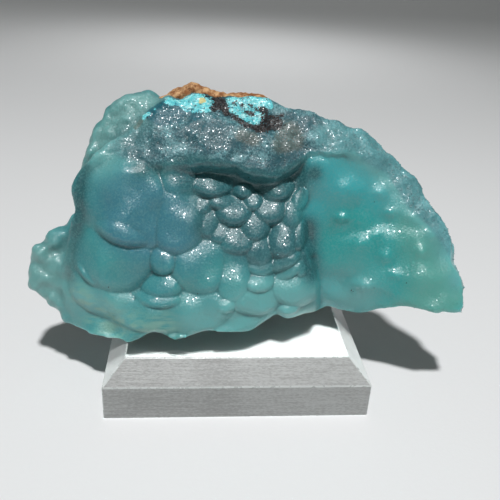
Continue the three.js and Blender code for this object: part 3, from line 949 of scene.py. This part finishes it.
def cells_at(places: np.ndarray, size: float) -> np.ndarray:
    """Reads rounded grains of a given size at each place, highest in each grain's middle."""
    return np.array([0.5 - noise.voronoi(Vector(place) / size)[0][0] for place in places])


def zone_values(mesh: bpy.types.Mesh, zone: Zone) -> np.ndarray:
    """Reads one zone's value at each vertex."""
    values = np.empty(len(mesh.vertices), dtype=np.float32)
    mesh.attributes[zone.value].data.foreach_get("value", values)
    return values


def fused(shells: list[Pillow | Knob], voxel: float, smoothing: int) -> bpy.types.Mesh:
    """Grows closed shells together into one even skin.

    Args:
        shells: Forms that can add themselves to a mesh.
        voxel: The grain of the skin in millimetres.
        smoothing: How many times the skin is smoothed.

    Returns:
        The fused mesh in face millimetres.
    """
    bm = bmesh.new()
    for shell in shells:
        shell.add_to(bm)
    mesh = bpy.data.meshes.new("skin")
    bm.to_mesh(mesh)
    bm.free()
    helper = shaded_object("skin", mesh)
    remesh = helper.modifiers.new("skin", "REMESH")
    remesh.mode = "VOXEL"
    remesh.voxel_size = voxel
    smooth = helper.modifiers.new("smooth", "SMOOTH")
    smooth.factor = 0.5
    smooth.iterations = smoothing
    return evaluated_mesh(helper)


@dataclass
class SmithsoniteStone:
    """The botryoidal stone, one solid with a sugary rim and rounded growths."""

    face: LeaningFace = field(default_factory=LeaningFace)
    relief: Relief = Relief(DOMES, SWELLS)
    voxel: float = 0.67
    smoothing: int = 4
    fine_smoothing: int = 3
    underside: float = 14.3
    wave_height: float = 0.3
    wave_length: float = 7.0
    ripple_height: float = 0.05
    ripple_length: float = 2.2
    lump_height: float = 0.4
    lump_size: float = 2.6
    grain_height: float = 0.22
    grain_size: float = 0.8
    crust_height: float = 0.25
    chip_height: float = 0.9
    chip_size: float = 3.4
    fine_facing: float = -0.1
    fine_depth: float = 12.0
    front_depth: float = 13.0
    front_fade: float = 3.0
    rim_fade: float = 2.0
    rim_left: float = -35.0
    back_grain: float = 0.7
    hollow_rounds: int = 12
    hollow_depth: float = 0.35
    finish: SmithsoniteFinish = field(default_factory=SmithsoniteFinish)

    def rim_field(self, places: np.ndarray, normals: np.ndarray) -> np.ndarray:
        """Tells where the surface is broken and sugary: the rim, the right edge and the back."""
        x, depth, w = places.T
        above = smooth_step((w - GRAIN_START.at(x)) / self.rim_fade + 0.5) * self.in_front(places)
        behind = smooth_step((normals[:, 1] + 0.1) / 0.5)
        return np.maximum(above * smooth_step((x - self.rim_left) / 4.0), self.back_grain * behind)

    def facing(self, normals: np.ndarray) -> np.ndarray:
        """Tells how much each vertex looks out of the front, from 0 to 1."""
        return smooth_step((0.2 - normals[:, 1]) / 0.6)

    def in_front(self, places: np.ndarray) -> np.ndarray:
        """Tells how far each vertex lies on the front half of the stone, from 0 to 1."""
        return smooth_step((self.front_depth - places[:, 1]) / self.front_fade)

    def refine_front(self, mesh: bpy.types.Mesh) -> None:
        """Halves the skin's grain on the front, where the growths and the sugary rim are."""
        bm = bmesh.new()
        bm.from_mesh(mesh)
        bm.normal_update()
        front = [face for face in bm.faces if face.normal.y < self.fine_facing
                 and face.calc_center_median().y < self.fine_depth]
        edges = list({edge for face in front for edge in face.edges})
        fine = bmesh.ops.subdivide_edges(bm, edges=edges, cuts=1, use_grid_fill=True)
        skin = [item for item in fine["geom"] if isinstance(item, bmesh.types.BMVert)]
        for _ in range(self.fine_smoothing):
            bmesh.ops.smooth_vert(
                bm, verts=skin, factor=0.5, use_axis_x=True, use_axis_y=True, use_axis_z=True)
        bm.to_mesh(mesh)
        bm.free()

    def grow_domes(self, mesh: bpy.types.Mesh) -> None:
        """Raises the rounded growths out of the front."""
        places = vertex_places(mesh)
        x, depth, w = places.T
        share = self.facing(vertex_normals(mesh)) * (1.0 - STONE_FRONT.rim_share(x, w))
        places[:, 1] -= self.relief.height(x, w) * share
        move_vertices(mesh, places)

    def roughen(self, mesh: bpy.types.Mesh) -> None:
        """Moves the skin along its normals: slow waves all over, lumps and grains on the rim.

        Args:
            mesh: The skin in face millimetres.
        """
        places = vertex_places(mesh)
        normals = vertex_normals(mesh)
        rim = self.rim_field(places, normals)
        crust = np.clip(self.marked(Zone.CRUST, places), 0.0, 1.0) * self.in_front(places)
        height = noise_at(places, self.wave_length) * self.wave_height
        height += noise_at(places, self.ripple_length) * self.ripple_height
        height += rim * noise_at(places, self.lump_size) * self.lump_height
        height += rim * cells_at(places, self.grain_size) * self.grain_height
        height += crust * self.crust_height
        milky = np.clip(self.marked(Zone.MILKY, places), 0.0, 1.0)
        height += milky * cells_at(places, self.chip_size) * self.chip_height
        move_vertices(mesh, places + normals * height[:, None])

    def hollows(self, mesh: bpy.types.Mesh, places: np.ndarray, normals: np.ndarray) -> np.ndarray:
        """Finds creases for the painted crease shade: how far each vertex lies under the mean of its
        wide neighbourhood.
        """
        edges = np.empty(len(mesh.edges) * 2, dtype=np.int32)
        mesh.edges.foreach_get("vertices", edges)
        first, second = edges.reshape(-1, 2).T
        count = np.bincount(edges, minlength=len(places))[:, None]
        mean = places.copy()
        for _ in range(self.hollow_rounds):
            total = np.stack([
                np.bincount(first, mean[second, axis], len(places))
                + np.bincount(second, mean[first, axis], len(places)) for axis in range(3)], axis=1)
            mean = total / np.maximum(count, 1)
        lift = ((mean - places) * normals).sum(axis=1)
        return smooth_step(lift / self.hollow_depth)

    def marked(self, zone: Zone, places: np.ndarray) -> np.ndarray:
        """Adds up the marks of one zone at each place."""
        x, depth, w = places.T
        return sum(np.exp(-0.5 * (np.hypot(x - mark_x, w - mark_w) / reach) ** 2)
                   for mark_x, mark_w, reach in ZONE_MARKS[zone])

    def write_zones(self, mesh: bpy.types.Mesh) -> None:
        """Writes each zone as an attribute for the finish to read."""
        places = vertex_places(mesh)
        normals = vertex_normals(mesh)
        x, depth, w = places.T
        facing = self.facing(normals)
        fields = {
            Zone.RIM: self.rim_field(places, normals),
            Zone.BASIN: STONE_FRONT.basin_share(x, w) * (1.0 - STONE_FRONT.rim_share(x, w)) * facing,
            # The crease field drives painted shade in the finish
            Zone.CREASE_SHADE: self.hollows(mesh, places, normals) * facing,
        }
        for zone in ZONE_MARKS:
            fields[zone] = np.clip(self.marked(zone, places), 0.0, 1.0) * self.in_front(places)
        for zone, values in fields.items():
            layer = mesh.attributes.new(zone.value, "FLOAT", "POINT")
            layer.data.foreach_set("value", values.astype(np.float32))

    def rest_flat(self, mesh: bpy.types.Mesh) -> None:
        """Cuts the skin level where it stands on the base, and closes the cut."""
        bm = bmesh.new()
        bm.from_mesh(mesh)
        level = Vector((0.0, 0.0, self.underside * MM))
        everything = bm.verts[:] + bm.edges[:] + bm.faces[:]
        bmesh.ops.bisect_plane(
            bm, geom=everything, plane_co=level, plane_no=(0.0, 0.0, -1.0), clear_outer=True)
        rim = [edge for edge in bm.edges if edge.is_boundary]
        closed = bmesh.ops.holes_fill(bm, edges=rim, sides=0)
        bmesh.ops.triangulate(bm, faces=closed["faces"])
        bm.to_mesh(mesh)
        bm.free()

    def build(self) -> bpy.types.Object:
        """Builds and dresses the stone.

        Returns:
            The finished piece.
        """
        mesh = fused([STONE_BODY, UPPER_LOBE, LOWER_LOBE, *KNOBS], self.voxel, self.smoothing)
        self.refine_front(mesh)
        self.grow_domes(mesh)
        self.roughen(mesh)
        self.write_zones(mesh)
        mesh.transform(self.face.matrix())
        self.rest_flat(mesh)
        return finished_piece(
            "smithsonite_stone", mesh, "smithsonite", (self.finish.material(),))


class GrainForm(Enum):
    """The shape of one small grain on the stone's skin."""

    RHOMB = "rhomb"
    LUMP = "lump"


@dataclass
class Strewn:
    """Small grains joined in one piece, strewn over the stone where a field is strong."""

    name: str
    slot: str
    form: GrainForm
    zone: Zone
    threshold: float
    count: int
    smallest: float
    largest: float
    proud: float
    seed: int
    finish: DruseFinish | OxideFinish
    bare: tuple[Zone, ...] = ()
    face: LeaningFace = field(default_factory=LeaningFace)
    singles: tuple[tuple[float, float], ...] = ()

    def spots(self, skin: bpy.types.Mesh, random: np.random.Generator) -> np.ndarray:
        """Chooses vertices of the skin.

        Args:
            skin: The stone's finished mesh.
            random: The seeded generator.

        Returns:
            The chosen vertices' indices.
        """
        likely = np.maximum(zone_values(skin, self.zone) - self.threshold, 0.0)
        for zone in self.bare:
            likely *= zone_values(skin, zone) < 0.1
        return random.choice(len(likely), self.count, replace=False, p=likely / likely.sum())

    def single_spots(self, skin: bpy.types.Mesh) -> list[int]:
        """Finds the front vertex nearest to each single grain's place."""
        places = vertex_places(skin)
        back = np.array(self.face.matrix().inverted())
        x, depth, w = (places @ back[:3, :3].T + back[:3, 3]).T
        front = vertex_normals(skin)[:, 1] < 0.0
        return [int(np.argmin(np.hypot(x - at_x, w - at_w) + FAR_AWAY * ~front))
                for at_x, at_w in self.singles]

    def add_grain(self, bm: bmesh.types.BMesh, place: Matrix) -> None:
        """Adds one grain of this piece's form."""
        if self.form is GrainForm.RHOMB:
            lean = Matrix.Shear("XY", 4, (0.25, 0.25))
            bmesh.ops.create_cube(bm, size=1.0, matrix=place @ lean)
        else:
            bmesh.ops.create_icosphere(bm, subdivisions=1, radius=0.5, matrix=place)

    def build(self, skin: bpy.types.Mesh) -> bpy.types.Object:
        """Strews and joins the grains.

        Args:
            skin: The stone's finished mesh.

        Returns:
            The finished piece.
        """
        random = np.random.default_rng(self.seed)
        places = vertex_places(skin)
        normals = vertex_normals(skin)
        bm = bmesh.new()
        for index in [*self.spots(skin, random), *self.single_spots(skin)]:
            size = random.uniform(self.smallest, self.largest) * MM
            turn = Quaternion(random.normal(size=4)).normalized().to_matrix().to_4x4()
            stretch = Matrix.Diagonal((*(size * random.uniform(0.7, 1.2, size=3)), 1.0))
            centre = Vector(places[index]) + Vector(normals[index]) * size * self.proud
            self.add_grain(bm, Matrix.Translation(centre) @ turn @ stretch)
        mesh = bpy.data.meshes.new(self.name)
        bm.to_mesh(mesh)
        bm.free()
        return finished_piece(
            self.name, mesh, None, (self.finish.material(),), smooth=False)


RIM_DRUSE = Strewn(
    "rim_druse", "smithsonite", GrainForm.RHOMB, Zone.RIM, 0.75, 900, 0.12, 0.26, 0.0, 11,
    DruseFinish(), bare=(Zone.CRUST, Zone.OXIDE, Zone.MILKY))
OXIDE_GRAINS = Strewn(
    "oxide_grains", "limonite", GrainForm.LUMP, Zone.OXIDE, 0.3, 640, 0.14, 0.42, 0.1, 12,
    OxideFinish(), singles=SPECKS)


@dataclass
class LimoniteMatrix:
    """The brown porous matrix on the upper back."""

    face: LeaningFace = field(default_factory=LeaningFace)
    voxel: float = 0.3
    smoothing: int = 2
    lump_height: float = 0.5
    lump_size: float = 1.6
    pit_height: float = 0.35
    pit_size: float = 0.9
    finish: LimoniteFinish = field(default_factory=LimoniteFinish)

    def build(self) -> bpy.types.Object:
        """Builds and dresses the matrix.

        Returns:
            The finished piece.
        """
        mesh = fused([MATRIX_CRUST], self.voxel, self.smoothing)
        places = vertex_places(mesh)
        height = noise_at(places, self.lump_size) * self.lump_height
        height += np.minimum(cells_at(places, self.pit_size), 0.2) * self.pit_height
        move_vertices(mesh, places + vertex_normals(mesh) * height[:, None])
        mesh.transform(self.face.matrix())
        return finished_piece(
            "limonite_crust", mesh, "limonite_matrix", (self.finish.material(),))


class AcrylicFace(Enum):
    """How the base's faces are finished, in the order of its material slots."""

    POLISHED = 0
    SAWN = 1
    SCRAPED = 2
    HONED = 3


@dataclass
class DisplayBase:
    """Clear acrylic block with a bevelled top, sawn in front and behind."""

    width: float = 64.0
    depth: float = 40.0
    height: float = 14.0
    bevel: float = 5.0
    edge_break: float = 0.25
    polished: PolishedAcrylicFinish = field(default_factory=PolishedAcrylicFinish)
    sawn: SawnAcrylicFinish = field(default_factory=SawnAcrylicFinish)
    scraped: BrokenEdgeFinish = field(default_factory=BrokenEdgeFinish)
    honed: HonedAcrylicFinish = field(default_factory=HonedAcrylicFinish)

    def face_finish(self, face: bmesh.types.BMFace) -> AcrylicFace:
        """Tells how one face of the block is finished."""
        if face.calc_area() < self.edge_break * self.width:
            return AcrylicFace.SCRAPED
        if abs(face.normal.y) > 0.5:
            return AcrylicFace.SAWN
        level = abs(face.normal.x) < 0.1 or abs(face.normal.z) < 0.1
        return AcrylicFace.POLISHED if level else AcrylicFace.HONED

    def build(self) -> bpy.types.Object:
        """Builds and dresses the block.

        Returns:
            The finished piece.
        """
        bm = bmesh.new()
        size = Matrix.Diagonal((self.width, self.depth, self.height, 1.0))
        bmesh.ops.create_cube(bm, size=1.0, matrix=Matrix.Translation((0, 0, self.height / 2)) @ size)
        top = [edge for edge in bm.edges if all(vert.co.z > self.height / 2 for vert in edge.verts)]
        bmesh.ops.bevel(
            bm, geom=top, offset=self.bevel, offset_type="OFFSET", affect="EDGES", segments=1,
            profile=0.5, material=-1)
        bmesh.ops.bevel(
            bm, geom=bm.edges[:], offset=self.edge_break, offset_type="OFFSET", affect="EDGES",
            segments=2, profile=0.5, material=-1)
        bm.normal_update()
        for face in bm.faces:
            face.material_index = self.face_finish(face).value
        bm.transform(Matrix.Scale(MM, 4))
        mesh = bpy.data.meshes.new("display_base_block")
        bm.to_mesh(mesh)
        bm.free()
        finishes = (self.polished, self.sawn, self.scraped, self.honed)
        piece = finished_piece(
            "display_base_block", mesh, "display_base",
            tuple(finish.material() for finish in finishes), smooth=False)
        piece.visible_shadow = False
        return piece


@dataclass
class Studio:
    """Pale sheet, one high soft light, a faint fill and the camera."""

    eye: tuple[float, float, float] = (-11.59, -136.61, 102.30)
    pitch: float = math.radians(26.0)
    yaw: float = math.radians(5.97)
    roll: float = math.radians(3.34)
    lens: float = 44.64
    light_path: tuple[float, float, float] = (0.0, 0.305, -1.0)
    light_distance: float = 1.2
    light_width: float = 0.09
    light_power: float = 5.25
    light_spread: float = math.radians(120.0)
    wash_path: tuple[float, float, float] = (0.0, 0.2, -1.0)
    wash_target: tuple[float, float, float] = (0.04, 0.6, 0.0)
    wash_distance: float = 0.9
    wash_width: float = 0.3
    wash_power: float = 0.14
    wash_spread: float = math.radians(36.0)
    fill: float = 0.12
    sky: Colour = (0.96, 1.0, 0.96, 1.0)
    sheet_gap: float = 0.1
    sheet_half_width: float = 2.0
    sheet_front: float = -1.5
    sheet_back: float = 1.1
    sweep_radius: float = 0.6
    paper: PaperFinish = field(default_factory=PaperFinish)

    def build_camera(self) -> None:
        """Puts the camera at the photograph's viewing angle."""
        data = bpy.data.cameras.new("camera")
        data.lens = self.lens
        data.sensor_width = 36.0
        data.clip_start = 0.01
        camera = bpy.data.objects.new("camera", data)
        turn = Matrix.Rotation(-self.yaw, 4, "Z") @ Matrix.Rotation(math.pi / 2 - self.pitch, 4, "X")
        turn = turn @ Matrix.Rotation(self.roll, 4, "Z")
        camera.matrix_world = Matrix.Translation(Vector(self.eye) * MM) @ turn
        bpy.context.scene.collection.objects.link(camera)
        bpy.context.scene.camera = camera

    def build_sheet(self) -> None:
        """Lays a sheet on the table that sweeps up behind."""
        bm = bmesh.new()
        corners = [bm.verts.new((side * self.sheet_half_width, self.sheet_front, -self.sheet_gap * MM))
                   for side in (-1.0, 1.0)]
        line = bm.edges.new(corners)
        floor = bmesh.ops.extrude_edge_only(bm, edges=[line])
        moved = [item for item in floor["geom"] if isinstance(item, bmesh.types.BMVert)]
        reach = self.sheet_back - self.sheet_front
        bmesh.ops.translate(bm, verts=moved, vec=(0.0, reach, 0.0))
        edge = [item for item in floor["geom"] if isinstance(item, bmesh.types.BMEdge)]
        turned = moved + edge
        bmesh.ops.spin(
            bm, geom=turned, cent=(0.0, self.sheet_back, self.sweep_radius), axis=(1.0, 0.0, 0.0),
            angle=math.pi / 2, steps=16)
        mesh = bpy.data.meshes.new("sheet")
        bm.to_mesh(mesh)
        bm.free()
        sheet = shaded_object("sheet", mesh)
        mesh.materials.append(self.paper.material())

    def add_light(self, name: str, path: tuple[float, float, float], target: tuple[float, float, float],
                  distance: float, width: float, power: float) -> bpy.types.Object:
        """Hangs one round light.

        Args:
            name: The light's name.
            path: The way its light travels.
            target: The point it looks at, in metres.
            distance: How far it hangs from the target, in metres.
            width: Its width in metres.
            power: Its power in watts.

        Returns:
            The light.
        """
        data = bpy.data.lights.new(name, "AREA")
        data.shape = "DISK"
        data.size = width
        data.energy = power
        light = bpy.data.objects.new(name, data)
        way = Vector(path).normalized()
        turn = way.to_track_quat("-Z", "Y").to_matrix().to_4x4()
        light.matrix_world = Matrix.Translation(Vector(target) - way * distance) @ turn
        bpy.context.scene.collection.objects.link(light)
        return light

    def build_lights(self) -> None:
        """Hangs one softly edged light over the object, and one that washes the sheet behind it."""
        key = self.add_light(
            "softbox", self.light_path, (0.0, 0.0, 0.0), self.light_distance, self.light_width,
            self.light_power)
        key.data.spread = self.light_spread
        wash = self.add_light(
            "back_wash", self.wash_path, self.wash_target, self.wash_distance, self.wash_width,
            self.wash_power)
        wash.data.spread = self.wash_spread

    def build_fill(self) -> None:
        """Lights the shadows with a faint even sky."""
        world = bpy.data.worlds.new("studio")
        world.use_nodes = True
        sky = world.node_tree.nodes["Background"]
        sky.inputs["Color"].default_value = self.sky
        sky.inputs["Strength"].default_value = self.fill
        bpy.context.scene.world = world

    def build(self) -> None:
        """Builds the camera, the sheet and the lights."""
        self.build_camera()
        self.build_sheet()
        self.build_lights()
        self.build_fill()
        bpy.context.scene.view_settings.view_transform = "Standard"


def main() -> None:
    """Builds the studio and every piece in order."""
    logging.basicConfig(level=logging.INFO, format="%(name)s: %(message)s")
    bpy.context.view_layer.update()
    Studio().build()
    stone = SmithsoniteStone().build()
    grains = [strewn.build(stone.data) for strewn in (RIM_DRUSE, OXIDE_GRAINS)]
    for piece in (stone, *grains, LimoniteMatrix().build(), DisplayBase().build()):
        LOG.info("built %s with %d faces", piece.name, len(piece.data.polygons))


if __name__ == "__main__":
    main()
